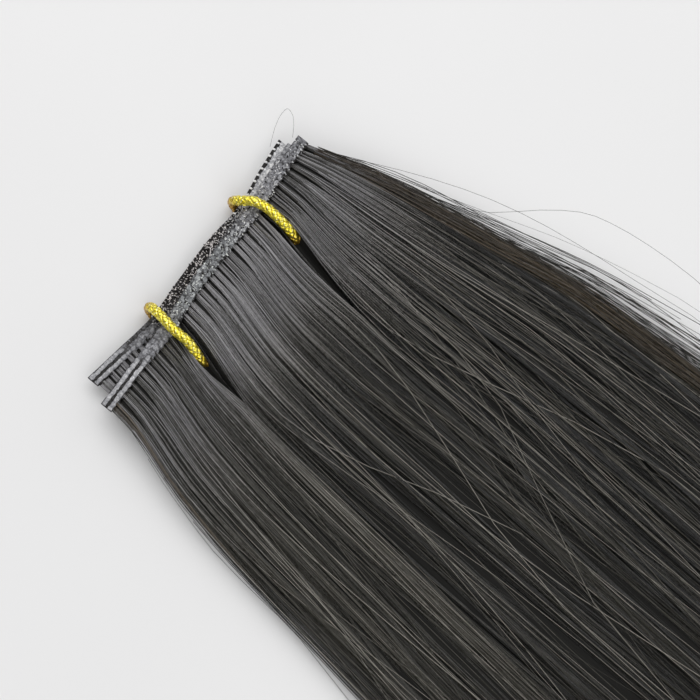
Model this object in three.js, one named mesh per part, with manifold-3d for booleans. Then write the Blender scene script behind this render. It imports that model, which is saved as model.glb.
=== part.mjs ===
// A bundle of straight dark hair weft lying flat: stitched bands stacked in steps,
// the hair that is sewn into each band, and gold cords that loop round the stack.
// Millimetres, +Z up. The hair runs from the bands at +Y to its tips at -Y.
import * as THREE from "three";
import { mergeVertices } from "three/addons/utils/BufferGeometryUtils.js";
import Module from "manifold-3d";

const wasm = await Module();
wasm.setup();

// Driving dimensions
const HAIR_LENGTH = 355;
const BAND_HEIGHT = 3.3; // along the hair
const BAND_THICKNESS = 1.0;
const BAND_CORNER = 0.25; // bevel along a band's long edges
const BAND_SLANT = 0.109; // rise in y for each mm across the bundle
const GAP = 0.3; // clearance between neighbouring pieces
const TIE_DIAMETER = 2.5;
const TIE_FLOOR_GAP = 0.1; // the cord's lower run clears the table by this
const BAND_LIFT = TIE_FLOOR_GAP + TIE_DIAMETER + GAP; // underside of the lowest band
const LAYER_PITCH = BAND_THICKNESS + GAP;
const BAND_Y = 177.6; // outer edge of the top band at mid-width, from the middle of the bundle's length

// How far each band's outer edge stands off the slanted line through the top band.
// The lowest band fans out at its left end, and the cords pull the top one in.
const BAND_STEPS = [
  { across: -38, top: 0.0, middle: 0.0, bottom: 7.1 },
  { across: -26, top: -0.2, middle: -0.1, bottom: 4.9 },
  { across: -14.5, top: -0.6, middle: 0.1, bottom: 3.0 },
  { across: -5, top: 0.0, middle: 0.4, bottom: 3.1 },
  { across: 7, top: -0.1, middle: 0.5, bottom: 3.0 },
  { across: 17.5, top: -0.5, middle: 0.2, bottom: 2.0 },
  { across: 27, top: 0.0, middle: 0.8, bottom: 3.1 },
  { across: 38, top: 0.1, middle: 1.4, bottom: 3.9 },
];

// One row for each layer of weft, from the table up.
const LAYERS = [
  { name: "bottom", level: 0, leftEnd: -34.8, rightEnd: 35.2 },
  { name: "middle", level: 1, leftEnd: -36.8, rightEnd: 35.6 },
  { name: "top", level: 2, leftEnd: -37.9, rightEnd: 38.1 },
];

// The hair's outer form, section by section behind the top band: half widths, height of the
// crown and of the rim above the table, and lift of the underside off the table.
const HAIR_SECTIONS = [
  { along: 0, left: 37.9, right: 38.1, crown: 6.5, rim: 6.5, lift: BAND_LIFT },
  { along: 6, left: 38.7, right: 40.2, crown: 7.0, rim: 6.2, lift: BAND_LIFT },
  { along: 13, left: 40.6, right: 42.4, crown: 7.8, rim: 5.6, lift: BAND_LIFT },
  { along: 22, left: 43.2, right: 44.9, crown: 8.9, rim: 4.8, lift: 1.7 },
  { along: 34, left: 45.5, right: 47.6, crown: 9.8, rim: 4.0, lift: 0.6 },
  { along: 48, left: 47.4, right: 50.2, crown: 10.3, rim: 3.5, lift: 0 },
  { along: 66, left: 49.3, right: 53.3, crown: 10.6, rim: 3.2, lift: 0 },
  { along: 90, left: 52.0, right: 55.0, crown: 10.6, rim: 3.0, lift: 0 },
  { along: 130, left: 55.0, right: 55.8, crown: 10.2, rim: 2.9, lift: 0 },
  { along: 190, left: 55.8, right: 55.4, crown: 9.4, rim: 2.9, lift: 0 },
  { along: 250, left: 54.0, right: 53.6, crown: 8.3, rim: 2.8, lift: 0 },
  { along: 310, left: 50.8, right: 50.4, crown: 7.0, rim: 2.7, lift: 0 },
  { along: HAIR_LENGTH, left: 47.4, right: 47.0, crown: 5.8, rim: 2.6, lift: 0 },
];
const CROWN_POWER = 2.6; // how flat the crown is across the bundle
const EDGES_MEET = 60; // behind the bands, where the lower layers have spread to the top layer's width
const HAIR_COLUMNS = 30;

// Where each cord crosses the outer edge of the bands, lies over the hair and dives into it,
// and where the parting that it dives through runs out. The places along y are measured
// from the slanted line through the top band.
const TIES = [
  { name: "left", edgeX: -13.8, runX: -15.0, diveX: -15.9, diveY: -13.1, tipX: -16.6, tipY: -27.0 },
  { name: "right", edgeX: 17.2, runX: 19.9, diveX: 19.7, diveY: -13.4, tipX: 15.4, tipY: -40.0 },
];
const PRESS = { depth: 1.6, halfWidth: 3.4, fullFrom: 8, fullTo: 16, gone: 60 }; // a cord's dent in the hair
const SLIT_HALF_WIDTH = 2.3; // the hair parts round a cord in a long narrow leaf
const SLIT_AHEAD = 3.4; // from the cord's centre to the leaf's end at the band
const TIE_STEPS = 52;
const TIE_SIDES = 8;

const { lerp, smoothstep, clamp } = THREE.MathUtils;

// Straight interpolation down one column of a table, held at both ends.
function fromTable(table, key, column, at) {
  const next = table.findIndex((row) => row[key] >= at);
  if (next === 0) return table[0][column];
  if (next < 0) return table.at(-1)[column];
  const before = table[next - 1];
  const after = table[next];
  return lerp(before[column], after[column], (at - before[key]) / (after[key] - before[key]));
}

// The y of a layer's outer band edge at a place across the bundle.
function bandEdgeY(layerName, x) {
  return BAND_Y + BAND_SLANT * x + fromTable(BAND_STEPS, "across", layerName, x);
}

// How far a point lies behind the top band's hair side.
function behindTopBand(x, y) {
  return bandEdgeY("top", x) - BAND_HEIGHT - GAP - y;
}

function halfWidth(side, along) {
  return fromTable(HAIR_SECTIONS, "along", side < 0 ? "left" : "right", along);
}

// The x of a lengthwise line of hair that starts at rootX, spread with the bundle.
function spread(rootX, along) {
  return rootX * (halfWidth(rootX, along) / halfWidth(rootX, 0));
}

// Underside and top of the whole stack of hair at a place, with the dents of the cords.
function hairHeights(x, y) {
  const along = Math.max(0, behindTopBand(x, y));
  const share = clamp(Math.abs(x) / halfWidth(x, along), 0, 1);
  const crown = fromTable(HAIR_SECTIONS, "along", "crown", along);
  const rim = fromTable(HAIR_SECTIONS, "along", "rim", along);
  const bottom = fromTable(HAIR_SECTIONS, "along", "lift", along);
  const fade = smoothstep(along, 0, PRESS.fullFrom) * (1 - smoothstep(along, PRESS.fullTo, PRESS.gone));
  const press = TIES.reduce((sum, tie) => {
    const off = (x - spread(tie.runX, along)) / PRESS.halfWidth;
    return sum + PRESS.depth * fade * Math.exp(-off * off);
  }, 0);
  const top = rim + (crown - rim) * (1 - share ** CROWN_POWER) - press;
  return { bottom, top };
}

// A closed skin through rings with the same number of points. A ring runs left to right along
// its top and back along its underside, and the two end rings are closed between facing points.
function loft(rings) {
  const size = rings[0].length;
  const at = (ring, point) => ring * size + (point % size);
  const index = [];
  for (let ring = 0; ring + 1 < rings.length; ring++) {
    for (let p = 0; p < size; p++) {
      const [a, b] = [at(ring, p), at(ring, p + 1)];
      const [c, d] = [at(ring + 1, p), at(ring + 1, p + 1)];
      index.push(a, c, b, b, c, d);
    }
  }
  const last = rings.length - 1;
  for (let p = 0; p + 1 < size / 2; p++) {
    const facing = size - 1 - p;
    const [a, b, c, d] = [at(0, p), at(0, p + 1), at(0, facing), at(0, facing - 1)];
    index.push(a, b, c, b, d, c);
    const [e, f, g, h] = [at(last, p), at(last, p + 1), at(last, facing), at(last, facing - 1)];
    index.push(e, g, f, f, g, h);
  }
  const geometry = new THREE.BufferGeometry().setFromPoints(rings.flat());
  geometry.setIndex(index);
  geometry.computeVertexNormals();
  return geometry;
}

// A stitched band: a flat strip with bevelled long edges that follows its layer's edge line.
function bandGeometry(layer) {
  const low = BAND_LIFT + layer.level * LAYER_PITCH;
  const high = low + BAND_THICKNESS;
  const ends = [layer.leftEnd, layer.rightEnd];
  const inner = BAND_STEPS.map((row) => row.across).filter((x) => x > ends[0] + 1 && x < ends[1] - 1);
  const rings = [ends[0], ...inner, ends[1]].map((x) => {
    const outer = bandEdgeY(layer.name, x);
    const hairSide = outer - BAND_HEIGHT;
    return [
      new THREE.Vector3(x, hairSide, high - BAND_CORNER),
      new THREE.Vector3(x, hairSide + BAND_CORNER, high),
      new THREE.Vector3(x, outer - BAND_CORNER, high),
      new THREE.Vector3(x, outer, high - BAND_CORNER),
      new THREE.Vector3(x, outer, low + BAND_CORNER),
      new THREE.Vector3(x, outer - BAND_CORNER, low),
      new THREE.Vector3(x, hairSide + BAND_CORNER, low),
      new THREE.Vector3(x, hairSide, low + BAND_CORNER),
    ];
  });
  return loft(rings);
}

// The hair of one layer: its share of the stack's height, from its own band to the tips.
function hairGeometry(layer) {
  const widest = LAYERS.at(-1);
  const rings = HAIR_SECTIONS.map((section) => {
    const top = [];
    const underside = [];
    for (let column = 0; column <= HAIR_COLUMNS; column++) {
      const rootX = lerp(layer.leftEnd, layer.rightEnd, column / HAIR_COLUMNS);
      const end = rootX < 0 ? "leftEnd" : "rightEnd";
      const widened = rootX * (widest[end] / layer[end]);
      const x = spread(lerp(rootX, widened, smoothstep(section.along, 0, EDGES_MEET)), section.along);
      const y = bandEdgeY(layer.name, rootX) - BAND_HEIGHT - GAP - section.along;
      const stack = hairHeights(x, y);
      const share = (stack.top - stack.bottom + GAP) / LAYERS.length;
      const low = stack.bottom + share * layer.level;
      top.push(new THREE.Vector3(x, y, low + share - GAP));
      underside.unshift(new THREE.Vector3(x, y, low));
    }
    return [...top, ...underside];
  });
  return loft(rings);
}

function solidOf(geometry) {
  const bare = geometry.clone();
  bare.deleteAttribute("normal");
  bare.deleteAttribute("uv");
  const merged = mergeVertices(bare, 1e-4);
  const vertProperties = merged.attributes.position.array;
  const triVerts = new Uint32Array(merged.index.array);
  return new wasm.Manifold(new wasm.Mesh({ numProp: 3, vertProperties, triVerts }));
}

function geometryOf(solid) {
  const mesh = solid.getMesh();
  const geometry = new THREE.BufferGeometry();
  geometry.setAttribute("position", new THREE.BufferAttribute(mesh.vertProperties, 3));
  geometry.setIndex(new THREE.BufferAttribute(mesh.triVerts, 1));
  geometry.computeVertexNormals();
  return geometry;
}

// A place in plan, with its y measured from the slanted line through the top band.
function onBundle(x, y) {
  return new THREE.Vector2(x, BAND_Y + BAND_SLANT * x + y);
}

// The parting that a cord dives through: a leaf along the hair, cut through every layer.
function slitGeometry(tie) {
  const { x, y } = onBundle(tie.diveX, tie.diveY);
  const tip = onBundle(tie.tipX, tie.tipY);
  const waistY = (y + tip.y) / 2;
  const leaf = new THREE.Shape();
  leaf.moveTo(x - SLIT_HALF_WIDTH, y);
  leaf.quadraticCurveTo(x - SLIT_HALF_WIDTH, y + SLIT_AHEAD, x, y + SLIT_AHEAD);
  leaf.quadraticCurveTo(x + SLIT_HALF_WIDTH, y + SLIT_AHEAD, x + SLIT_HALF_WIDTH, y);
  leaf.quadraticCurveTo(x + SLIT_HALF_WIDTH, waistY, tip.x, tip.y);
  leaf.quadraticCurveTo(x - SLIT_HALF_WIDTH, waistY, x - SLIT_HALF_WIDTH, y);
  const depth = 2 * HAIR_SECTIONS[0].crown;
  return new THREE.ExtrudeGeometry(leaf, { depth, bevelEnabled: false, curveSegments: 5 });
}

// A cord's closed loop: under the stack, up round the stepped band edges, over the top band
// and the hair, and down through the parting.
function tieCurve(tie) {
  const radius = TIE_DIAMETER / 2;
  const clear = radius + GAP;
  const under = TIE_FLOOR_GAP + radius;
  const over = BAND_LIFT + LAYERS.length * LAYER_PITCH + radius;
  const lowEdge = bandEdgeY("bottom", tie.edgeX);
  const highEdge = bandEdgeY("top", lerp(tie.edgeX, tie.runX, 0.5));
  const dive = onBundle(tie.diveX, tie.diveY);
  const lowBandTop = BAND_LIFT + BAND_THICKNESS;
  const route = [
    // under the lowest band and round its outer edge
    [tie.edgeX, lowEdge - 3, under],
    [tie.edgeX, lowEdge + 0.55 * clear, under + 0.25],
    [tie.edgeX, lowEdge + 1.02 * clear, BAND_LIFT + BAND_THICKNESS / 2],
    [tie.edgeX, lowEdge + 0.75 * clear, lowBandTop + 0.75 * clear],
    // up the steps of the bands and over the top one
    [lerp(tie.edgeX, tie.runX, 0.4), lerp(lowEdge, highEdge, 0.6), over - 0.5],
    [lerp(tie.edgeX, tie.runX, 0.7), highEdge - 0.4, over + 0.1],
    [tie.runX, highEdge - BAND_HEIGHT, over + 0.1],
    // over the hair and down through the parting
    [tie.runX, lerp(highEdge - BAND_HEIGHT, dive.y, 0.45), over],
    [lerp(tie.runX, tie.diveX, 0.5), dive.y + 2.4, over - 0.9],
    [tie.diveX, dive.y + 0.3, over - 2.8],
    [tie.diveX, dive.y - 0.2, under + 2.4],
    // back under the hair
    [tie.diveX, dive.y + 1.4, under + 0.3],
    [lerp(tie.diveX, tie.edgeX, 0.3), dive.y + 4.5, under],
    [lerp(tie.diveX, tie.edgeX, 0.7), lerp(dive.y, lowEdge, 0.55), under],
  ];
  return new THREE.CatmullRomCurve3(
    route.map((point) => new THREE.Vector3(...point)),
    true,
  );
}

// The loop has no ends, so its tube is closed all the way round.
function tieGeometry(tie) {
  return new THREE.TubeGeometry(tieCurve(tie), TIE_STEPS, TIE_DIAMETER / 2, TIE_SIDES, true);
}

const bandMaterial = new THREE.MeshStandardMaterial({ color: 0x6a6a6e, roughness: 0.55, metalness: 0 });
const hairMaterial = new THREE.MeshStandardMaterial({ color: 0x3b3733, roughness: 0.42, metalness: 0 });
const goldMaterial = new THREE.MeshStandardMaterial({ color: 0xd8b52c, roughness: 0.3, metalness: 0.9 });

function piece(name, geometry, material) {
  const mesh = new THREE.Mesh(geometry, material);
  mesh.name = name;
  return mesh;
}

const bundle = new THREE.Group();
const slits = TIES.map((tie) => solidOf(slitGeometry(tie)));
for (const layer of LAYERS) {
  const hair = slits.reduce((solid, slit) => solid.subtract(slit), solidOf(hairGeometry(layer)));
  bundle.add(piece(`${layer.name}_weft_band`, bandGeometry(layer), bandMaterial));
  bundle.add(piece(`${layer.name}_weft_hair`, geometryOf(hair), hairMaterial));
}
for (const tie of TIES) {
  bundle.add(piece(`${tie.name}_gold_tie`, tieGeometry(tie), goldMaterial));
}

export default bundle;
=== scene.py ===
"""A tied bundle of straight dark hair weft, lying flat on a pale table.

Shapes are worked out in millimetres, in the part's own frame: +Y from the tips of the hair to the
stitched bands, +X along the bands, +Z up. A mesh is written in metres.
"""

import bpy
import numpy as np
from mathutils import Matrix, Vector


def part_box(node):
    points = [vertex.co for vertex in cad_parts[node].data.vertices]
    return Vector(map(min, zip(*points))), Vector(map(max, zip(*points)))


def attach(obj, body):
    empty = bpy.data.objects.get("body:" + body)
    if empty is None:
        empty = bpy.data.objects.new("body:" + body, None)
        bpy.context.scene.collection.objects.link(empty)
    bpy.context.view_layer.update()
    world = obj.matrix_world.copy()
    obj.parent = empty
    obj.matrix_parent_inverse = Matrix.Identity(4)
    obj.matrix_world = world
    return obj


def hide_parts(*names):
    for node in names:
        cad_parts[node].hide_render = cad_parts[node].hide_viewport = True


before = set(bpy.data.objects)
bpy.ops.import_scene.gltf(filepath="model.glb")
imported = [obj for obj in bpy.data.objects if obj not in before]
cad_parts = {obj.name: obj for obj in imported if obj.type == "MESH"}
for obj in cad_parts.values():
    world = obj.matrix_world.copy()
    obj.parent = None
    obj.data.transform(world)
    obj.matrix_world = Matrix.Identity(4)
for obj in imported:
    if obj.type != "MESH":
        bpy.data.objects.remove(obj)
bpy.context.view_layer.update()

MM = 0.001
ACROSS, UPWARD = np.array([1.0, 0.0, 0.0]), np.array([0.0, 0.0, 1.0])

# Sizes of the real thing
HAIR_LENGTH = 355.0
BAND_HEIGHT = 3.3
BAND_SLANT = 0.109
BUNCH_PITCH = 1.75
TIE_RADIUS = 1.25
TIE_FLOOR_GAP = 0.1
GAP = 0.3

# Places taken from the frame
BAND_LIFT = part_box("bottom_weft_band")[0].z / MM
LAYER_PITCH = (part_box("middle_weft_band")[0].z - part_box("bottom_weft_band")[0].z) / MM
BAND_THICKNESS = (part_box("top_weft_band")[1].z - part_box("top_weft_band")[0].z) / MM
STACK_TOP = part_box("top_weft_band")[1].z / MM

LAYERS = {
    name: {
        "level": level,
        "left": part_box(f"{name}_weft_band")[0].x / MM,
        "right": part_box(f"{name}_weft_band")[1].x / MM,
    }
    for level, name in enumerate(("bottom", "middle", "top"))
}

# How far each band's outer edge stands off the slanted line through the top band
BAND_STEPS = {
    "across": (-38, -26, -14.5, -5, 7, 17.5, 27, 38),
    "top": (0.0, -0.2, -0.6, 0.0, -0.1, -0.5, 0.0, 0.1),
    "middle": (0.0, -0.1, 0.1, 0.4, 0.5, 0.2, 0.8, 1.4),
    "bottom": (7.1, 4.9, 3.0, 3.1, 3.0, 2.0, 3.1, 3.9),
}
BAND_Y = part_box("top_weft_band")[1].y / MM - BAND_SLANT * LAYERS["top"]["right"] - BAND_STEPS["top"][-1]

# The hair's outer form behind the top band: half widths, heights of crown and rim, lift off the table
HAIR_SECTIONS = {
    "along": (0, 6, 13, 22, 34, 48, 66, 90, 130, 190, 250, 310, HAIR_LENGTH),
    "left": (37.9, 38.7, 40.6, 43.2, 45.5, 47.4, 49.3, 52.0, 55.0, 55.8, 54.0, 50.8, 47.4),
    "right": (38.1, 40.2, 42.4, 44.9, 47.6, 50.2, 53.3, 55.0, 55.8, 55.4, 53.6, 50.4, 47.0),
    "crown": (6.5, 7.0, 7.8, 8.9, 9.8, 10.3, 10.6, 10.6, 10.2, 9.4, 8.3, 7.0, 5.8),
    "rim": (6.5, 6.2, 5.6, 4.8, 4.0, 3.5, 3.2, 3.0, 2.9, 2.9, 2.8, 2.7, 2.6),
    "lift": (2.9, 2.9, 2.9, 1.7, 0.6, 0, 0, 0, 0, 0, 0, 0, 0),
}
CROWN_POWER = 2.6
FAN_LANES = (22, 40)  # between them the run of the hair turns from the left edge's to the right edge's
FAN_REACH = 60.0  # how much of the edges' run the fan near the band follows
SPOT_AT = 70.0  # how far behind the band the hair is evenly spread

# The cords: where each crosses the bands' outer edge, lies over the hair and dives into it, how far
# beside the dive the parting's straight wall stands, where the parting runs out, how wide it opens and
# to which side. The y values count from the line through the top band.
TIES = {
    "left": {"edge_x": -13.8, "run_x": -15.0, "dive": (-15.9, -13.1), "wall": 3.3, "tip": (-16.6, -27.0),
             "opening": 4.3, "opens_to": -1},
    "right": {"edge_x": 17.2, "run_x": 19.9, "dive": (19.7, -13.4), "wall": -2.6, "tip": (14.7, -40.0),
              "opening": 3.6, "opens_to": 1},
}
WALL_REACH, PUSH_REACH = 8.0, 3.5  # how far beside a parting hair follows its wall and is pushed aside
WALL_RETURN = 120.0  # how far past a parting's end its wall is back on its lane
VALLEY = {"depth": 2.4, "half_width": 1.3, "swell": 0.5, "swell_at": 4.0, "swell_width": 3.0,
          "begins": (2, 9), "fades_over": 35}


# Shape of the bundle


def smoothstep(value, low, high):
    """Rises from 0 at low to 1 at high as 3t^2 - 2t^3."""
    t = np.clip((value - low) / (high - low), 0, 1)
    return t * t * (3 - 2 * t)


def smooth_curve(knots, values, at):
    """Cubic Hermite curve through a table, with the table's own central differences as slopes."""
    knots, values = np.asarray(knots, float), np.asarray(values, float)
    slopes = np.gradient(values, knots, axis=0)
    at = np.clip(at, knots[0], knots[-1])
    i = np.clip(np.searchsorted(knots, at, side="right") - 1, 0, len(knots) - 2)
    span = knots[i + 1] - knots[i]
    t = (at - knots[i]) / span
    if values.ndim > 1:
        span, t = span[..., None], t[..., None]
    start = (1 + 2 * t) * (1 - t) ** 2 * values[i] + t * (1 - t) ** 2 * span * slopes[i]
    end = t**2 * (3 - 2 * t) * values[i + 1] + t**2 * (t - 1) * span * slopes[i + 1]
    return start + end


def curve_through(route, steps):
    """Steps along the smooth curve through a route's points, as many on each stretch."""
    return smooth_curve(np.arange(len(route)), route, np.linspace(0, len(route) - 1, steps))


def section(column, along):
    """One column of the section table at a distance behind the top band."""
    return smooth_curve(HAIR_SECTIONS["along"], HAIR_SECTIONS[column], along)


def line_y(x):
    """The slanted line through the top band's outer edge."""
    return BAND_Y + BAND_SLANT * x


def band_edge(layer, x):
    """The y of a layer's outer band edge at a place across the bundle."""
    return line_y(x) + smooth_curve(BAND_STEPS["across"], BAND_STEPS[layer], x)


def behind_top_band(x, y):
    """How far a point lies behind the top band's hair side."""
    return band_edge("top", x) - BAND_HEIGHT - GAP - y


def edge_shift(side, along):
    """How far an edge of the bundle has moved out from its place at the band."""
    return section(side, along) - HAIR_SECTIONS[side][0]


def spread_x(lane, along):
    """The x of a lengthwise line of hair that leaves the band at x = lane. Near the band the left and the
    middle run beside the left edge, the right end runs beside the right edge, and between them the lines
    fan out by a smooth step. What the edges grow further on is shared out by the square of a line's place
    across the band."""
    left_root, right_root = HAIR_SECTIONS["left"][0], HAIR_SECTIONS["right"][0]
    across = np.clip((lane + left_root) / (left_root + right_root), 0, 1)
    near = along / np.sqrt(1 + (along / FAN_REACH) ** 2)
    near_left, near_right = edge_shift("left", near), edge_shift("right", near)
    far_left, far_right = edge_shift("left", along) - near_left, edge_shift("right", along) - near_right
    fan = (near_left + near_right) * smoothstep(lane, *FAN_LANES) - near_left
    return lane + fan + far_right * across**2 - far_left * (1 - across) ** 2


def spot_of(lane):
    """The x of a line of hair at the distance behind the band where hair is evenly spread."""
    return spread_x(lane, SPOT_AT)


def lane_of(spot):
    """The lane of the line of hair that passes a spot, read from a fine table of spots."""
    lanes = np.linspace(-40, 41, 900)
    return np.interp(spot, spot_of(lanes), lanes)


def make_parting(tie):
    """Lane, start and end of the parting that a cord dives through, and its drift off its lane."""
    (dive_x, dive_y), (tip_x, tip_y) = tie["dive"], tie["tip"]
    start = behind_top_band(dive_x, line_y(dive_x) + dive_y)
    end = behind_top_band(tip_x, line_y(tip_x) + tip_y)
    lanes = np.linspace(LAYERS["top"]["left"], LAYERS["top"]["right"], 500)
    lane = np.interp(dive_x + tie["wall"], spread_x(lanes, start), lanes)
    return {"lane": lane, "start": start, "end": end, "drift": tip_x - spread_x(lane, end),
            "opening": tie["opening"], "opens_to": tie["opens_to"]}


PARTINGS = [make_parting(tie) for tie in TIES.values()]


def parting_wall(parting, along):
    """The x of a parting's straight wall. It leaves its lane by the drift, and comes back after the end."""
    end = parting["end"]
    share = smoothstep(along, parting["start"], end) * (1 - smoothstep(along, end, end + WALL_RETURN))
    return spread_x(parting["lane"], along) + parting["drift"] * share


def parting_width(parting, along):
    """The width of a parting: it opens from the band to the dive and closes from there to its end."""
    opening = smoothstep(along, -4, parting["start"])
    closing = smoothstep(along, parting["start"], parting["end"] + 4)
    return parting["opening"] * opening * (1 - closing)


def flow_x(lane, along, openness):
    """The x of a line of hair beside the partings. Near a parting a line follows its straight wall, and
    on the side that opens it is pushed out by the parting's width. Both fade with distance."""
    x = spread_x(lane, along)
    for parting in PARTINGS:
        off = lane - parting["lane"]
        near = np.exp(-((off / WALL_REACH) ** 2))
        bend = parting_wall(parting, along) - spread_x(parting["lane"], along)
        push = openness * parting_width(parting, along) * np.exp(-np.abs(off) / PUSH_REACH)
        push = push * (off * parting["opens_to"] > 0)
        x = x + bend * near + parting["opens_to"] * push
    return x


def stack_heights(x, y):
    """Underside and top of the whole stack of hair: a flattened crown between the rims, with a valley
    at each parting and a swell on both sides of it."""
    along = np.maximum(0, behind_top_band(x, y))
    half = np.where(x < 0, section("left", along), section("right", along))
    share = np.clip(np.abs(x) / half, 0, 1)
    rim = section("rim", along)
    top = rim + (section("crown", along) - rim) * (1 - share**CROWN_POWER)
    for parting in PARTINGS:
        middle = parting_wall(parting, along) + parting["opens_to"] * parting_width(parting, along) / 2
        off = np.abs(x - middle)
        fade = smoothstep(along, *VALLEY["begins"])
        fade = fade * (1 - smoothstep(along, parting["end"], parting["end"] + VALLEY["fades_over"]))
        swell = VALLEY["swell"] * np.exp(-(((off - VALLEY["swell_at"]) / VALLEY["swell_width"]) ** 2))
        top = top + fade * (swell - VALLEY["depth"] * np.exp(-((off / VALLEY["half_width"]) ** 2)))
    return np.maximum(0, section("lift", along)), top


# Meshes from arrays


def add_piece(name, points, faces, uv, material, slot):
    """One mesh object from points in millimetres and lists of face corner arrays, one list entry
    for each number of corners. It rides on the part's only body."""
    corners = np.concatenate([f.reshape(-1) for f in faces]).astype(np.int32)
    sizes = np.concatenate([np.full(len(f), f.shape[1]) for f in faces])
    starts = np.concatenate([[0], np.cumsum(sizes)[:-1]]).astype(np.int32)
    mesh = bpy.data.meshes.new(name)
    mesh.vertices.add(len(points))
    mesh.vertices.foreach_set("co", (points * MM).astype(np.float32).ravel())
    mesh.loops.add(len(corners))
    mesh.loops.foreach_set("vertex_index", corners)
    mesh.polygons.add(len(sizes))
    mesh.polygons.foreach_set("loop_start", starts)
    flow = mesh.uv_layers.new(name="flow")
    flow.uv.foreach_set("vector", uv[corners].astype(np.float32).ravel())
    mesh.update(calc_edges=True)
    mesh.shade_smooth()
    mesh.materials.append(material)
    piece = bpy.data.objects.new(name, mesh)
    bpy.context.scene.collection.objects.link(piece)
    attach(piece, "root")
    return piece


def unit(vectors):
    """Vectors divided by their lengths."""
    return vectors / np.linalg.norm(vectors, axis=-1, keepdims=True)


def quads(here, there):
    """Four-cornered faces between closed rings of point numbers and the next ones along."""
    corners = [here, there, np.roll(there, -1, axis=-1), np.roll(here, -1, axis=-1)]
    return np.stack(corners, axis=-1).reshape(-1, 4)


def sweep(paths, radii, sides, hint, tone, flatten=1.0, closed=False):
    """Tubes along many paths at once: at each point a ring of r (cos a * side + flatten sin a * normal),
    with side square to the path and the hint, and normal square to the path and side. Open tubes end
    in flat caps. Returns points, face lists and UVs: the tone in U, the share of the path in V."""
    count, steps = paths.shape[:2]
    if closed:
        tangent = np.roll(paths, -1, axis=1) - np.roll(paths, 1, axis=1)
    else:
        tangent = np.gradient(paths, axis=1)
    tangent = unit(tangent)
    side = unit(np.cross(tangent, hint))
    normal = np.cross(side, tangent)
    angle = 2 * np.pi * np.arange(sides) / sides
    ring = np.cos(angle)[:, None] * side[:, :, None] + flatten * np.sin(angle)[:, None] * normal[:, :, None]
    radii = np.broadcast_to(radii, (count, steps))
    points = paths[:, :, None] + radii[:, :, None, None] * ring
    index = np.arange(count * steps * sides).reshape(count, steps, sides)
    here = index if closed else index[:, :-1]
    there = np.roll(index, -1, axis=1) if closed else index[:, 1:]
    faces = [quads(here, there)]
    if not closed:
        faces += [index[:, 0], index[:, -1, ::-1]]
    uv = np.empty((count, steps, sides, 2))
    uv[..., 0] = np.broadcast_to(tone, (count, steps))[..., None]
    uv[..., 1] = np.linspace(0, 1, steps)[None, :, None]
    return points.reshape(-1, 3), faces, uv.reshape(-1, 2)


def join(parts):
    """Several (points, faces, uv) sets as one."""
    points, faces, uvs, base = [], [], [], 0
    for part_points, part_faces, part_uv in parts:
        points.append(part_points)
        faces += [f + base for f in part_faces]
        uvs.append(part_uv)
        base += len(part_points)
    return np.concatenate(points), faces, np.concatenate(uvs)


def loft(rings):
    """A closed skin through rings of an equal, even number of points. Each ring runs left to right
    along its top and back along its underside, and facing points close the two ends."""
    rows, size = rings.shape[:2]
    index = np.arange(rows * size).reshape(rows, size)
    top, facing = np.arange(size // 2 - 1), size - 1 - np.arange(size // 2 - 1)
    first = np.stack([index[0][top], index[0][top + 1], index[0][facing - 1], index[0][facing]], axis=-1)
    last = np.stack([index[-1][facing], index[-1][facing - 1], index[-1][top + 1], index[-1][top]], axis=-1)
    return rings.reshape(-1, 3), [quads(index[:-1], index[1:]), first, last]


# Materials

BAND_TINT = (-16.0, 16.0)  # the x between which the bands are tinted
GOLD_SHADE_HEIGHTS = (4.5, 7.5)  # the heights between which the cords turn from painted brown shade to gold
WHITE = (1, 1, 1)


def new_material(name):
    """Two functions for a new material: one adds a node with given inputs and settings, the other gives the
    shader its inputs and returns the material. An input is a number, a colour or a node's output."""
    material = bpy.data.materials.new(name)
    material.use_nodes = True
    nodes, links = material.node_tree.nodes, material.node_tree.links

    def feed(made, inputs):
        for key, value in inputs.items():
            if isinstance(value, bpy.types.NodeSocket):
                links.new(value, made.inputs[key])
            else:
                made.inputs[key].default_value = value

    def node(kind, inputs=None, **settings):
        made = nodes.new(kind)
        for key, value in settings.items():
            setattr(made, key, value)
        feed(made, inputs or {})
        return made

    def surface(inputs):
        feed(nodes["Principled BSDF"], inputs)
        return material

    return node, surface


def ramp(node, factor, stops):
    """A colour ramp with the given (place, colour) stops."""
    made = node("ShaderNodeValToRGB", {"Fac": factor})
    elements = made.color_ramp.elements
    while len(elements) < len(stops):
        elements.new(0.5)
    for element, (place, colour) in zip(elements, stops):
        element.position = place
        element.color = (*colour, 1)
    return made.outputs["Color"]


def flow_map(node):
    """The piece's own UV map, with a tone or a place across in U and the run along in V."""
    return node("ShaderNodeUVMap", uv_map="flow").outputs["UV"]


def own_place(node):
    """The place on the piece, in metres."""
    return node("ShaderNodeTexCoord").outputs["Object"]


def axis(node, vector, letter):
    """One coordinate of a vector."""
    return node("ShaderNodeSeparateXYZ", {"Vector": vector}).outputs[letter]


def stretched(node, vector, across, along):
    """A vector with its first two coordinates scaled."""
    return node("ShaderNodeMapping", {"Vector": vector, "Scale": (across, along, 1.0)}).outputs["Vector"]


def noise(node, vector, scale, detail):
    """Smooth noise from 0 to 1."""
    return node("ShaderNodeTexNoise", {"Vector": vector, "Scale": scale, "Detail": detail}).outputs["Fac"]


def scaled(node, value, factor, offset):
    """The value times a factor, plus an offset."""
    made = node("ShaderNodeMath", {0: value, 1: factor, 2: offset}, operation="MULTIPLY_ADD")
    return made.outputs["Value"]


def add(node, first, second):
    """The sum of two values."""
    return node("ShaderNodeMath", {0: first, 1: second}, operation="ADD").outputs["Value"]


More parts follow.
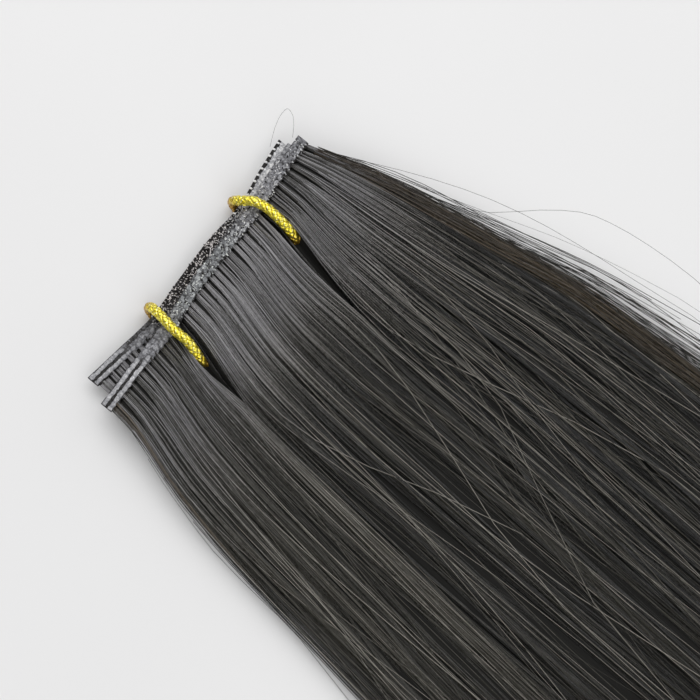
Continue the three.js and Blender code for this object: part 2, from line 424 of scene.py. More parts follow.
def share_between(node, value, limits):
    """0 where a coordinate is at the first limit, in millimetres, and 1 at the second."""
    low, high = limits
    made = node("ShaderNodeMapRange", {"Value": value, "From Min": low * MM, "From Max": high * MM})
    return made.outputs["Result"]


def bump(node, height, strength, distance):
    """A normal that follows a height, with the distance in millimetres."""
    made = node("ShaderNodeBump", {"Height": height, "Strength": strength, "Distance": distance * MM})
    return made.outputs["Normal"]


def multiply(node, first, second):
    """The product of two colours. A mix node's colours are its sockets 6 and 7, and its result is 2."""
    made = node("ShaderNodeMix", {0: 1.0, 6: first, 7: second}, data_type="RGBA", blend_type="MULTIPLY")
    return made.outputs[2]


def strand_material(name, stops):
    """Single hairs: each has its own tone, in U, and changes slowly along its length, in V. Near the band
    they are a little cooler, a painted tint of the sheen there, and further on warmer, the hair's own
    colour."""
    node, surface = new_material(name)
    flow = flow_map(node)
    drift = noise(node, stretched(node, flow, 93.0, 14.0), 1.0, 2.0)
    shade = add(node, axis(node, flow, "X"), scaled(node, drift, 0.3, -0.15))
    # Cooler near the band, a painted tint of the sheen; warmer further on, the hair's own colour.
    root_sheen_and_warmth = ramp(node, axis(node, flow, "Y"), [(0.3, (1.0, 0.985, 1.06)), (0.55, (1.0, 0.95, 0.86))])
    return surface({
        "Base Color": multiply(node, ramp(node, shade, stops), root_sheen_and_warmth),
        "Roughness": scaled(node, drift, 0.3, 0.13),
        "Specular IOR Level": 0.75,
    })


def undercoat_material():
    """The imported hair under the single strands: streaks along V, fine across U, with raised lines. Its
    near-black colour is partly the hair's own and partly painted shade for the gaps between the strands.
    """
    node, surface = new_material("hair_undercoat")
    streak = noise(node, stretched(node, flow_map(node), 620.0, 5.0), 1.0, 4.0)
    # Near black: partly the hair's own colour, partly painted shade in the gaps between strands.
    colour = ramp(node, streak, [
        (0.3, (0.0025, 0.0024, 0.002)),
        (0.55, (0.006, 0.0057, 0.0047)),
        (0.75, (0.016, 0.0152, 0.0125)),
    ])
    raised = bump(node, streak, 0.5, 0.2)
    return surface({"Base Color": colour, "Normal": raised, "Roughness": 0.6, "Specular IOR Level": 0.2})


def band_material(name, speckle, raised_by, tint):
    """Sewn thread and folded hair in black to lavender grey to white: a tone, in U, broken up by fine
    speckles that are also raised, and tinted between the cords."""
    node, surface = new_material(name)
    place = own_place(node)
    fleck = noise(node, place, 2300.0, 3.0)
    shade = add(node, axis(node, flow_map(node), "X"), scaled(node, fleck, speckle, -speckle / 2))
    grey = ramp(node, shade, [
        (0.05, (0.009, 0.008, 0.0075)),
        (0.3, (0.058, 0.056, 0.058)),
        (0.55, (0.20, 0.202, 0.219)),
        (0.8, (0.47, 0.47, 0.49)),
        (1.0, (0.88, 0.88, 0.88)),
    ])
    across = share_between(node, axis(node, place, "X"), BAND_TINT)
    tinted = ramp(node, across, [(0.0, WHITE), (0.2, tint), (0.7, tint), (1.0, WHITE)])
    colour = multiply(node, grey, tinted)
    raised = bump(node, fleck, raised_by, 0.2)
    return surface({"Base Color": colour, "Normal": raised, "Roughness": 0.4, "Specular IOR Level": 0.2})


def gold_material():
    """Metallic foil thread: lemon gold with fine lines along the ribbon, pale patches of painted highlight
    and darker orange-brown patches of painted shade, and browner low down, painted shade where the cord
    turns round the bands and into the hair."""
    node, surface = new_material("gold_foil")
    grain = noise(node, stretched(node, flow_map(node), 9.0, 60.0), 3.0, 3.0)
    # Painted highlights and shade: the near-white stop lightens patches, the orange-brown stop darkens
    # others.
    colour = ramp(node, grain, [
        (0.34, (0.58, 0.37, 0.005)),
        (0.48, (1.0, 0.85, 0.025)),
        (0.64, (1.0, 0.98, 0.45)),
    ])
    # Painted shade: the cord is browner low down, where it turns round the bands and dives into the hair.
    height = share_between(node, axis(node, own_place(node), "Z"), GOLD_SHADE_HEIGHTS)
    painted_low_shade = ramp(node, height, [(0.0, (0.55, 0.36, 0.2)), (1.0, WHITE)])
    return surface({
        "Base Color": multiply(node, colour, painted_low_shade),
        "Roughness": scaled(node, grain, 0.25, 0.17),
        "Normal": bump(node, grain, 0.2, 0.1),
        "Metallic": 0.85,
        "Coat Weight": 0.4,
        "Coat Roughness": 0.1,
    })


def tie_core_material():
    """The brown elastic inside the braid, which shows in the gaps between its ribbons. Its dark brown is
    partly the elastic's own and partly painted shade in those gaps.
    """
    node, surface = new_material("tie_core")
    grain = noise(node, own_place(node), 1500.0, 2.0)
    # Dark brown: partly the elastic's own colour, partly painted shade between the ribbons.
    colour = ramp(node, grain, [(0.3, (0.05, 0.035, 0.004)), (0.7, (0.15, 0.11, 0.012))])
    return surface({"Base Color": colour, "Roughness": 0.6})


# The lightest tones are near neutral grey: painted highlights on hairs that catch the light.
STRANDS = strand_material("hair_strands", [
    (0.0, (0.0025, 0.0023, 0.0018)),
    (0.4, (0.0100, 0.0093, 0.0068)),
    (0.7, (0.036, 0.0345, 0.0275)),
    (0.9, (0.115, 0.112, 0.103)),
    (1.0, (0.27, 0.268, 0.26)),
])
# A warm brown, partly the hair's own colour and partly painted light shining through the thin hair at the
# edges.
BROWN_BACKLIT_EDGE_STRANDS = strand_material("brown_backlit_edge_strands", [
    (0.0, (0.012, 0.0095, 0.0062)),
    (0.4, (0.042, 0.033, 0.0215)),
    (0.8, (0.120, 0.092, 0.058)),
    (1.0, (0.21, 0.17, 0.115)),
])
UNDERCOAT = undercoat_material()
GOLD = gold_material()
TIE_CORE = tie_core_material()


# Hair

STATIONS = np.array([
    0, 2, 4.5, 7.5, 11, 15, 20, 26, 34, 44, 57, 73, 93, 118, 150, 192, 245, 300, HAIR_LENGTH])
ROOT_MERGE, ROOT_RISE = (0.8, 17.0), (0.5, 13.0)  # over which hair leaves its bunch's lane and height
BUNCH_HALF_WIDTH = 0.72
END_INSET = 0.3  # of the outermost locks from the band's ends
TRESS_WIDTH = 3.4
TRESS_GROWTH = (15, 70)  # over which the tresses form behind the band
PARTED = {"bottom": 0.0, "middle": 0.3, "top": 1.0}  # how far a layer opens at the partings
PARTING_CLOSES = 0.15  # sideways over lengthwise, past a parting's end
FEATHER = {"left": 0.2, "right": 0.8}  # how far single hairs leave the bundle's edges
FEATHER_FROM, FEATHER_OVER = 42, 9  # the spots over which hair counts as edge hair
LEFT_INSET = {"bottom": 3.0, "middle": 2.5, "top": 1.2}  # of loosened hair from the band's left end
LOWEST_HAIR = 0.12
SHEET_ROWS, SHEET_COLUMNS_PER_MM = 34, 2.0
SHEET_END = 340
LOBE_INSET = 0.15  # of a sheet's lobe from the walls of its partings
SHEET_U_WIDTH = 76  # across the hair's lanes for one unit of U


def bunch_centres(layer, lane):
    """The middle of the sewn bunch that a lane belongs to, and the same a little uneven from bunch to
    bunch. Whole bunches share the band's length evenly."""
    left, right = LAYERS[layer]["left"], LAYERS[layer]["right"]
    bunches = round((right - left) / BUNCH_PITCH)
    pitch = (right - left) / bunches
    number = np.clip(np.floor((lane - left) / pitch), 0, bunches - 1)
    bunch = left + (number + 0.5) * pitch
    return bunch, bunch + 0.14 * np.sin(bunch * 12.9)


def tress_line(number, along):
    """The spot of a tress's middle, which wanders as two slow sines of its own phase."""
    wander = 1.7 * np.sin(along / 61 + 2.4 * number) + 0.6 * np.sin(along / 27 + 5.1 * number)
    return (number + 0.3 * np.sin(7.7 * number)) * TRESS_WIDTH + wander * smoothstep(along, *TRESS_GROWTH)


def tress_sink(spot, along):
    """The relief of the tresses: the square of the distance to the nearest tress's middle, counted in
    half widths of a tress. It grows from nothing behind the roots."""
    near = np.round(spot / TRESS_WIDTH)
    off = np.min([np.abs(spot - tress_line(near + k, along)) for k in (-1, 0, 1)], axis=0)
    return np.clip((off / (TRESS_WIDTH / 2)) ** 2, 0, 1.2) * smoothstep(along, *TRESS_GROWTH)


def make_locks(layer, lanes, rng, count, cross, swerve, gather):
    """The facts of locks that are spread evenly over the spots between two lanes: each one's lane and
    spot, its order from deep to shallow, its sideways drift, half width, tone, length and tress. A share
    of the locks, cross, swerves by a mean and a spread of its own, far enough to cross others."""
    facts = LAYERS[layer]
    low, high = max(lanes[0], facts["left"] + END_INSET), min(lanes[1], facts["right"] - END_INSET)
    low_spot, high_spot = spot_of(np.array([low, high]))
    spot = low_spot + (np.arange(count) + rng.uniform(0, 1, count)) / count * (high_spot - low_spot)
    order = rng.uniform(0, 1, count) ** 1.5
    far = rng.normal(*swerve, count) * (rng.uniform(0, 1, count) < cross)
    drift = rng.normal(0, 0.8, count) + far
    drift_from = rng.uniform(2, 60, count)
    drift_over = rng.uniform(50, 150, count) * (1.4 - 0.4 * gather)
    half = 0.22 + rng.gamma(2.0, 0.16, count)
    tone = rng.uniform(0, 1, count)
    length = HAIR_LENGTH - np.abs(rng.normal(0, 8, count)) - 60 * rng.uniform(0, 1, count) ** 5
    tress = np.round(spot / TRESS_WIDTH + rng.normal(0, 0.2, count))
    return {"lane": lane_of(spot), "spot": spot, "order": order, "drift": drift, "drift_from": drift_from,
            "drift_to": drift_from + drift_over, "half": half, "tone": tone, "length": length,
            "tress": tress}


def beside_partings(lane, lanes, along):
    """Keeps the hair of a lobe on its own side of the partings that it ends at, up to their ends. From
    there the lobes may close over them."""
    for parting in PARTINGS:
        give = np.maximum(0, along - parting["end"]) * PARTING_CLOSES
        if lanes[0] == parting["lane"]:
            lane = np.maximum(lane, parting["lane"] + 0.02 - give)
        if lanes[1] == parting["lane"]:
            lane = np.minimum(lane, parting["lane"] - 0.02 + give)
    return lane


def hair_tones(rng, lock, along, sink, gather, contrast, painted_root_sheen):
    """The tone along each hair: its lock's, a little of its own and, for one hair in ten, a painted glint.
    Painted shade darkens deep locks and the valleys between tresses, a painted sheen lightens the first
    48 mm, and painted shade darkens the hair from 60 to 150 mm."""
    # Painted highlight: one hair in ten glints.
    painted_glint = rng.uniform(0, 1, (len(along), 1)) < 0.1
    own = rng.uniform(0, 1, (len(along), 1))
    tone = 0.75 * contrast * lock["tone"] ** 1.4 + 0.2 * own + 0.3 * painted_glint
    # Painted shade: deep locks and the valleys between tresses are darker.
    tone = tone * (0.15 + 0.85 * lock["order"]) * (1 - 0.6 * gather * np.minimum(sink, 1))
    # Painted sheen: the first 48 mm behind the band are lighter.
    tone = tone + painted_root_sheen * (0.2 + own) * (1 - smoothstep(along, 4, 48))
    # Painted shade: the hair darkens from 60 to 150 mm behind the band.
    return tone - 0.1 * smoothstep(along, 60, 150)


def lock_hairs(layer, lanes, rng, locks, hairs, deep, shallow, cross, swerve, gather, contrast, painted_root_sheen):
    """Paths of single hairs, as (hairs, stations, 3), and the tones along them.

    Hairs lie on the upper half of locks. A lock leaves the band inside one of the sewn bunches, in the
    order of its lane and depth, and moves over the first stretch to its own lane and depth. From there it
    drifts sideways and gathers into wider tresses: it leans towards the middle of its tress, lies as high
    as its tress and sinks with the tresses' relief."""
    facts = LAYERS[layer]
    made = make_locks(layer, lanes, rng, locks, cross, swerve, gather)
    lock = {fact: np.repeat(values, hairs)[:, None] for fact, values in made.items()}
    count = locks * hairs
    aside = rng.uniform(-1, 1, (count, 1))
    above = np.sqrt(1 - aside**2) * rng.uniform(0.5, 1, (count, 1))
    length = lock["length"] - np.abs(rng.normal(0, 4, (count, 1)))
    along = STATIONS[None] * length / HAIR_LENGTH
    merge, rise = smoothstep(along, *ROOT_MERGE), smoothstep(along, *ROOT_RISE)

    bunch, root_middle = bunch_centres(layer, lock["lane"])
    within = np.clip((lock["lane"] - bunch) / (BUNCH_PITCH / 2), -1, 1)
    root_lane = root_middle + BUNCH_HALF_WIDTH * (0.7 * within + 0.3 * aside)
    loose = 1 + 0.5 * smoothstep(along, 40, 250)
    spot = lock["spot"] + lock["half"] * aside * loose
    spot = spot + lock["drift"] * smoothstep(along, lock["drift_from"], lock["drift_to"])
    lean = 0.6 * gather * smoothstep(along, 12, 90)
    spot = spot + lean * (tress_line(lock["tress"], along) - lock["spot"])
    sway = rng.uniform(0.03, 0.3, (count, 1))
    own_wave = sway * np.sin(along / rng.uniform(12, 30, (count, 1)) + 6 * aside)
    spot = spot + own_wave * smoothstep(along, 12, 60)
    free_lane = np.clip(lane_of(spot), facts["left"] + LEFT_INSET[layer], facts["right"])
    lane = beside_partings(root_lane * (1 - merge) + free_lane * merge, lanes, along)

    x = flow_x(lane, along, PARTED[layer])
    edge = np.clip((np.abs(lock["spot"]) - FEATHER_FROM) / FEATHER_OVER, 0, 1.2)
    reach = np.where(lock["spot"] < 0, FEATHER["left"], FEATHER["right"])
    feather = rng.uniform(0, 1, (count, 1)) ** 2.5 * edge * reach * smoothstep(along, 10, 130)
    x = x + np.sign(x) * feather
    y = band_edge(layer, root_lane) - BAND_HEIGHT + 0.6 - along

    bottom, top = stack_heights(x, y)
    share = (top - bottom) / len(LAYERS)
    depth = deep + (shallow - deep) * lock["order"]
    sink = tress_sink(spot, along)
    free_z = bottom + share * (facts["level"] + depth) + lock["half"] * 0.5 * above
    tress_lift = 0.3 * np.sin(3.7 * lock["tress"]) * smoothstep(along, *TRESS_GROWTH)
    free_z = free_z + gather * (tress_lift - 1.1 * sink * depth)
    round_off = np.sqrt(1 - 0.8 * within**2)
    root_z = BAND_LIFT + LAYER_PITCH * facts["level"] + BAND_THICKNESS / 2
    root_z = root_z + 0.45 * round_off * (0.7 * (2 * lock["order"] - 1) + 0.3 * above)
    z = root_z * (1 - rise) + free_z * rise
    tone = hair_tones(rng, lock, along, sink, gather, contrast, painted_root_sheen)
    return np.stack([x, y, np.maximum(z, LOWEST_HAIR)], axis=-1), tone


# The root sheen argument is the strength of the painted sheen near the band.
def strand_piece(name, layer, lanes, seed, locks, hairs, deep, shallow, cross=0.1, swerve=(0.0, 5.0),
                 gather=1.0, contrast=1.0, painted_root_sheen=0.45, bright=0.0, thin=0.045, thick=0.095,
                 material=STRANDS):
    """A mesh of three-sided hairs, even along their length and drawn to a point at the tip."""
    rng = np.random.default_rng(seed)
    paths, tone = lock_hairs(
        layer, lanes, rng, locks, hairs, deep, shallow, cross, swerve, gather, contrast, painted_root_sheen)
    taper = 1 - 0.9 * smoothstep(np.linspace(0, 1, len(STATIONS)), 0.88, 1.0)
    radii = rng.uniform(thin, thick, (len(paths), 1)) * taper
    add_piece(name, *sweep(paths, radii, 3, UPWARD, tone + bright), material, "hair")


def surface_hairs(name, lanes, seed, count, swerve, bright):
    """Single hairs that lie on top of the tresses and cross them. Their light tone is a painted highlight
    on hairs that catch the light.
    """
    strand_piece(name, "top", lanes, seed, count, 1, 1.0, 1.12, cross=0.8, swerve=swerve, gather=0.2,
                 painted_root_sheen=0.35, bright=bright, thin=0.05, thick=0.1)


def there_and_back(top, underside):
    """Rows of a value along the top of a sheet and back along its underside."""
    return np.concatenate([top, underside[:, ::-1]], axis=1)


def hair_sheet(layer, low_share, high_share):
    """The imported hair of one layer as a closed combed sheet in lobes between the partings. Its top and
    underside lie at two shares of the layer's height, with fine ridges along the hair. Near the band it
    lies low, so that the bunches stand clear of it, and at the tips it ends in uneven points."""
    facts = LAYERS[layer]
    partings = [parting["lane"] for parting in PARTINGS]
    walls = [facts["left"] + LEFT_INSET[layer], *partings, facts["right"] - 0.4]
    along = np.concatenate([STATIONS[:-1], [SHEET_END - 12, SHEET_END]])
    along = np.interp(np.linspace(0, 1, SHEET_ROWS), np.linspace(0, 1, len(along)), along)[:, None]
    lobes = []
    for low, high in zip(walls[:-1], walls[1:]):
        low_spot, high_spot = spot_of(np.array([low + LOBE_INSET, high - LOBE_INSET]))
        columns = int((high_spot - low_spot) * SHEET_COLUMNS_PER_MM)
        lane = lane_of(np.linspace(low_spot, high_spot, columns))[None]
        short = 14 + 7 * np.sin(lane * 4.3) + 7 * np.sin(lane * 7.9 + 1)
        run = along - short * smoothstep(along, SHEET_END - 70, SHEET_END)
        x = flow_x(lane, run, PARTED[layer]) * (1 - 0.025 * smoothstep(run, 5, 60))
        y = band_edge(layer, lane) - BAND_HEIGHT + 0.5 - run
        bottom, top = stack_heights(x, y)
        share = (top - bottom) / len(LAYERS)
        comb = 0.5 * np.sin(lane * 3.7 + run * 0.021) + 0.5 * np.sin(lane * 2.3 + 1.0 - run * 0.017)
        comb = comb + 0.4 * np.sin(lane * 5.9 + 2.0 + run * 0.03)
        thin = np.clip(np.minimum(lane - walls[0], walls[-1] - lane) / 3.0, 0.05, 1)
        close = 1 - 0.9 * smoothstep(along, SHEET_END - 40, SHEET_END)
        rise = 0.45 + 0.55 * smoothstep(along, 4, 24)
        thickness = (high_share - low_share) * rise * thin * close
        upper = bottom + share * (facts["level"] + low_share + thickness)
        lower = bottom + share * (facts["level"] + low_share)
        upper = upper + 0.12 * comb * thin * rise
        lower = np.maximum(lower + 0.06 * comb * thin, 0.06)
        upper = np.maximum(upper, lower + 0.1)
        rings = [there_and_back(x, x), there_and_back(y, y), there_and_back(upper, lower)]
        across, ring_run = there_and_back(lane, lane), there_and_back(run, run)
        uv = np.stack(np.broadcast_arrays(across / SHEET_U_WIDTH, ring_run / HAIR_LENGTH), axis=-1)
        lobes.append((*loft(np.stack(rings, axis=-1)), uv.reshape(-1, 2)))
    piece = add_piece(f"{layer}_hair_sheet", *join(lobes), UNDERCOAT, "hair")
    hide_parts(f"{layer}_weft_hair")


def build_hair():
    """A sheet of packed hair for each layer, and single hairs in locks over it: thickest on the top layer,
    where they run in lobes between the partings."""
    hair_sheet("bottom", 0.04, 0.8)
    hair_sheet("middle", 0.2, 0.75)
    hair_sheet("top", 0.1, 0.45)
    left, right = (parting["lane"] for parting in PARTINGS)
    strand_piece("top_hair_left_lobe", "top", (-99, left), 11, 70, 12, 0.45, 1.05, cross=0.8,
                 swerve=(-3.0, 2.0), contrast=0.5, painted_root_sheen=0.16, bright=0.46)
    strand_piece("top_hair_middle_lobe", "top", (left, right), 12, 90, 12, 0.45, 1.05, contrast=0.8,
                 painted_root_sheen=1.0, bright=0.15)
    strand_piece("top_hair_right_lobe", "top", (right, 99), 13, 110, 12, 0.4, 1.05, cross=0.6,
                 painted_root_sheen=0.85, bright=-0.4)
    # The light tones of the surface hairs are painted highlights.
    surface_hairs("left_surface_hairs", (-99, left), 20, 45, (-4.0, 6.0), 0.7)
    surface_hairs("middle_surface_hairs", (left, right), 16, 45, (0.0, 9.0), 0.68)
    surface_hairs("right_surface_hairs", (right, 99), 21, 95, (-2.0, 13.0), 0.66)
    strand_piece("left_edge_hairs", "top", (-99, -35.5), 18, 8, 12, 0.1, 0.9, painted_root_sheen=0.0,
                 bright=-0.1, material=BROWN_BACKLIT_EDGE_STRANDS)
    strand_piece("middle_hair_strands", "middle", (-99, 99), 14, 44, 9, 0.1, 0.95)
    strand_piece("bottom_hair_strands", "bottom", (-99, 99), 15, 42, 9, 0.03, 0.95)
    # Painted light: these roots lie in the top band's shade and get a light tone so that they look lit.
    strand_piece("bottom_left_roots", "bottom", (-99, -12), 19, 52, 6, 0.4, 0.95, bright=0.85)


# Loose hairs

LOOSE_STATIONS = 15
SIDE_LIMIT = 68.0

# Single hairs that stand out by themselves: places they pass, from root to tip
STRAYS = {
    "arc": ((48, 144.4, 7), (50.7, 136.4, 11), (57.6, 127.7, 14), (62.8, 120.4, 15), (65.2, 113.7, 15),
            (67, 104.3, 14), (68.2, 92.2, 12), (68.4, 77.4, 8)),
    "edge_high": ((41.7, 169.1, 6), (45.9, 160.1, 7), (50.8, 148.2, 8), (54.7, 136.9, 8), (57.8, 124.9, 7),
                  (60, 112.1, 6), (61.8, 99, 5), (63.7, 85.9, 4), (65, 60, 2)),
    "edge_mid": ((43.2, 163.7, 6), (47.1, 150.9, 7), (51.7, 137.3, 7), (56.9, 122.7, 7), (60.7, 109.8, 6),
                 (63.6, 97.6, 5), (65.4, 87.5, 4), (66.5, 66, 2)),
    "left_low": ((-40, 157.9, 3), (-41.8, 151.9, 2), (-43.6, 144.5, 1), (-46, 133.6, 0.5),
                 (-47.4, 119.2, 0.3), (-48.5, 106.5, 0.3), (-52.3, 88, 0.3), (-57, 60, 0.3)),
    "loop": ((32.5, 185.3, 4), (35.5, 186.7, 6), (38, 187.3, 8), (39.7, 187, 10), (40.2, 186.4, 10.5),
             (39.8, 184.8, 10), (38.6, 183.5, 8.5), (36.9, 182.4, 6)),
    "curl": ((32.1, 167.3, 9), (33.8, 166.4, 9.1), (35.9, 166.4, 9.1), (37.2, 167, 8.4)),
}


def edge_hairs(rng, side, count, inset, out_most, starts, spans):
    """Hairs along one edge of the bundle: each leaves it at its own distance behind the band and a little
    inside the edge, stands further out with the share of its own length, and has a slow wave."""
    sign = -1 if side == "left" else 1
    lane = sign * (HAIR_SECTIONS[side][0] - rng.uniform(0, inset, (count, 1)))
    start = starts[0] + (starts[1] - starts[0]) * rng.uniform(0, 1, (count, 1)) ** 2.2
    share = np.linspace(0, 1, LOOSE_STATIONS)[None]
    along = np.minimum(start + rng.uniform(*spans, (count, 1)) * share, HAIR_LENGTH + 4)
    out = out_most * rng.uniform(0, 1, (count, 1)) * share**0.8
    wave = rng.normal(0, 0.4, (count, 1)) * np.sin(share * rng.uniform(3, 12, (count, 1)))
    x = sign * np.minimum(sign * (spread_x(lane, along) + wave) + out, SIDE_LIMIT)
    y = band_edge("top", lane) - BAND_HEIGHT - along
    bottom, top = stack_heights(x, y)
    z = bottom + (top - bottom) * rng.uniform(0.3, 1.1, (count, 1))
    z = z + rng.uniform(0, 2.5, (count, 1)) * np.sin(np.pi * share * 0.8)
    return np.stack([x, y, np.maximum(z, 0.1)], axis=-1)


def loose_piece(name, rng, paths, thin, thick, material):
    """A mesh of loose hairs, each with a tone of its own."""
    radii = rng.uniform(thin, thick, (len(paths), 1)) * np.ones(LOOSE_STATIONS)
    tone = rng.uniform(0.1, 0.7, (len(paths), 1))
    add_piece(name, *sweep(paths, radii, 3, UPWARD, tone), material, "hair")


def build_loose_hairs():
    """Fuzz along the right edge, hairs that leave both edges, and the single hairs on smooth curves."""
    rng = np.random.default_rng(21)
    fuzz = edge_hairs(rng, "right", 420, 2.0, 0.8, (2, 240), (25, 80))
    loose_piece("right_edge_fuzz", rng, fuzz, 0.05, 0.11, BROWN_BACKLIT_EDGE_STRANDS)
    paths = [
        edge_hairs(rng, "right", 90, 0.4, 11.0, (3, 230), (70, 150)),
        edge_hairs(rng, "left", 30, 4.5, 1.5, (3, 230), (70, 150)),
    ]
    loose_piece("loose_hairs", rng, np.concatenate(paths), 0.05, 0.095, STRANDS)
    strays = np.stack([curve_through(route, LOOSE_STATIONS) for route in STRAYS.values()])
    loose_piece("stray_hairs", rng, strays, 0.035, 0.05, STRANDS)


# Bands

# Each band at its left end, beside the left cord, between the cords and at its right end: the half widths
# of its outer and inner thread ridge and of the stitches over its outer edge, the tones of the folded
# cloth, the ridges and those stitches, and how much darker the outer fold is; then the number, the tones
# and the last x of its specks, and its tint
BANDS = {
    "bottom": {"ridges": ((0.56, 0.5, 0.26, 0.26), (0.56, 0.5, 0.26, 0.6)), "bead": (0.2, 0.2, 0.2, 0.34),
               "cloth": (0.1, 0.48, -0.1, 0.8), "thread": (0.74, 0.58, 0.05, 0.9),
               "edge": (0.5, 0.5, 0.15, 1.1), "fold": (0.0, 0.25, 0.0, 1.1),
               "specks": (1000, 0.8, 1.2, 21.0), "tint": (1.0, 0.95, 0.93)},
    "middle": {"ridges": ((0.5, 0.5, 0.45, 0.6), (0.5, 0.5, 0.45, 0.6)), "bead": (0.2, 0.2, 0.2, 0.25),
               "cloth": (0.2, 0.2, 0.2, 0.6), "thread": (0.5, 0.5, 0.4, 0.72),
               "edge": (0.4, 0.4, 0.4, 0.7), "fold": (0.0, 0.0, 0.0, 0.0),
               "specks": (400, 0.6, 0.9, 36.0), "tint": (1.0, 1.0, 1.0)},
    "top": {"ridges": ((0.56, 0.55, 0.5, 0.42), (0.56, 0.55, 0.5, 0.42)), "bead": (0.2, 0.2, 0.22, 0.2),
            "cloth": (0.1, 0.5, 0.42, 0.48), "thread": (0.75, 0.6, 0.6, 0.57),
            "edge": (0.5, 0.5, 0.45, 0.5), "fold": (0.0, 0.0, 0.0, 0.0),
            "specks": (520, 0.75, 1.1, 37.0), "tint": (0.97, 1.0, 0.97)},
}
BAND_TURNS = ((-27, -22), (-17, -11), (9, 18))  # the x over which one stretch of a band turns to the next
BEAD_PITCH = 1.45
EDGE_PITCH = 1.72
EDGE_INSET = 0.6  # from the outer edge to the middle of its row of stitches
RIDGE_PLACES = (0.76, 2.4)
FACE_HEIGHT = 0.4
SPECKS_FROM = -16.0
SEAM_INSET = 2.8  # where the top band's row of small stitches beside the hair lies
SEAM_TONES = (0.55, 0.75, 0.65, 0.8)

# A loose loop of pale thread on the bands between the cords: x, y from the band line's middle, z
THREAD_LOOP = ((4.9, 2.6, 4.2), (5.3, 2.0, 5.2), (5.0, 1.3, 6.3), (4.2, 0.6, 6.9), (3.4, 0.1, 6.8))


def band_line(layer, along):
    """Points along a band's outer edge: x, y, and the height of its middle."""
    x = LAYERS[layer]["left"] + along
    middle = BAND_LIFT + LAYER_PITCH * LAYERS[layer]["level"] + BAND_THICKNESS / 2
    return x, band_edge(layer, x), np.full_like(x, middle)


def along_band(values, x):
    """A value that changes smoothly from a band's left end to the left cord, to the stretch between the
    cords and to its right end."""
    value = values[0]
    for before, after, turn in zip(values[:-1], values[1:], BAND_TURNS):
        value = value + (after - before) * smoothstep(x, *turn)
    return value


def band_core(layer, length, stitches, rng, material):
    """A rounded strip of folded hair: a superellipse carried along the band, swollen at each bunch on
    the hair side, with lumps of uneven size over its faces."""
    along = np.linspace(0, length, stitches * 8)[:, None]
    turn = np.linspace(np.pi, -np.pi, 18, endpoint=False)[None]
    x, outer, height = band_line(layer, along)
    beat = np.cos(2 * np.pi * along / length * stitches)
    cosine, sine = np.cos(turn), np.sin(turn)
    lumps = rng.normal(0, 1, (len(along), turn.size))
    lumps = (lumps + np.roll(lumps, 1, 0) + np.roll(lumps, 1, 1) + np.roll(lumps, (1, 1), (0, 1))) / 2
    across = BAND_HEIGHT / 2 * (1 - 0.97 * np.sign(cosine) * np.abs(cosine) ** 0.5)
    across = across - 0.14 * beat * (cosine < -0.3) * np.abs(cosine)
    rise = (0.3 + 0.045 * lumps) * np.sign(sine) * np.abs(sine) ** 0.6
    rings = np.stack(np.broadcast_arrays(x, outer - across, height + rise), axis=-1)
    index = np.arange(rings.shape[0] * rings.shape[1]).reshape(rings.shape[:2])
    faces = [quads(index[:-1], index[1:]), index[:1], index[-1:, ::-1]]
    fold = along_band(BANDS[layer]["fold"], x) * (1 - smoothstep(across, 0.75, 0.95))
    seam = 0.4 * smoothstep(across, SEAM_INSET - 0.5, SEAM_INSET) * smoothstep(x, SPECKS_FROM, -11)
    # The tone follows the lumps: painted shade in the dents, lighter on the swellings.
    tone = along_band(BANDS[layer]["cloth"], x) - fold - seam + 0.05 * lumps
    uv = np.stack(np.broadcast_arrays(tone, turn / np.pi), axis=-1).reshape(-1, 2)
    core = add_piece(f"{layer}_band_core", rings.reshape(-1, 3), faces, uv, material, "band")
    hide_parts(f"{layer}_weft_band")


def band_ridges(layer, length, rng):
    """Beaded thread ridges, two on each face. A ridge is a flattened tube that narrows where one stitch
    meets the next, and each stitch has its own size, place and tone. At the left end they are evener."""
    style = BANDS[layer]
    beads = int(length / BEAD_PITCH)
    steps = beads * 8 + 1
    count = np.linspace(0, beads, steps)
    x, outer, height = band_line(layer, 0.1 + count / beads * (length - 0.2))
    uneven = along_band((0.3, 0.7, 0.9, 0.8), x)
    parts = []
    for face, sides in ((1, 8), (-1, 6)):
        for number, place in enumerate(RIDGE_PLACES):
            phase = count + 0.5 * number
            stitch = np.floor(phase).astype(int)
            notch = 1 - 0.35 * uneven * np.abs(np.cos(np.pi * phase)) ** 6
            size = 1 + uneven * rng.normal(0, 0.2, beads + 2)[stitch]
            nudge = uneven * rng.normal(0, 0.16, beads + 2)[stitch] * np.sin(np.pi * (phase - stitch))
            tone = along_band(style["thread"], x) + uneven * rng.normal(0, 0.09, beads + 2)[stitch]
            # Painted shade: the thread is darker where one stitch meets the next.
            tone = tone - 0.3 * uneven * np.abs(np.cos(np.pi * phase)) ** 8
            if number == 0:
                tone = tone - along_band(style["fold"], x)
            slant = 0.15 * uneven * (phase - stitch - 0.5)
            path = np.stack([x, outer - place + nudge + slant, height + face * 0.2], axis=-1)[None]
            radius = along_band(style["ridges"][number], x) * notch * np.clip(size, 0.55, 1.4)
            parts.append(sweep(path, radius[None], sides, UPWARD, tone[None], flatten=0.52))
    return parts


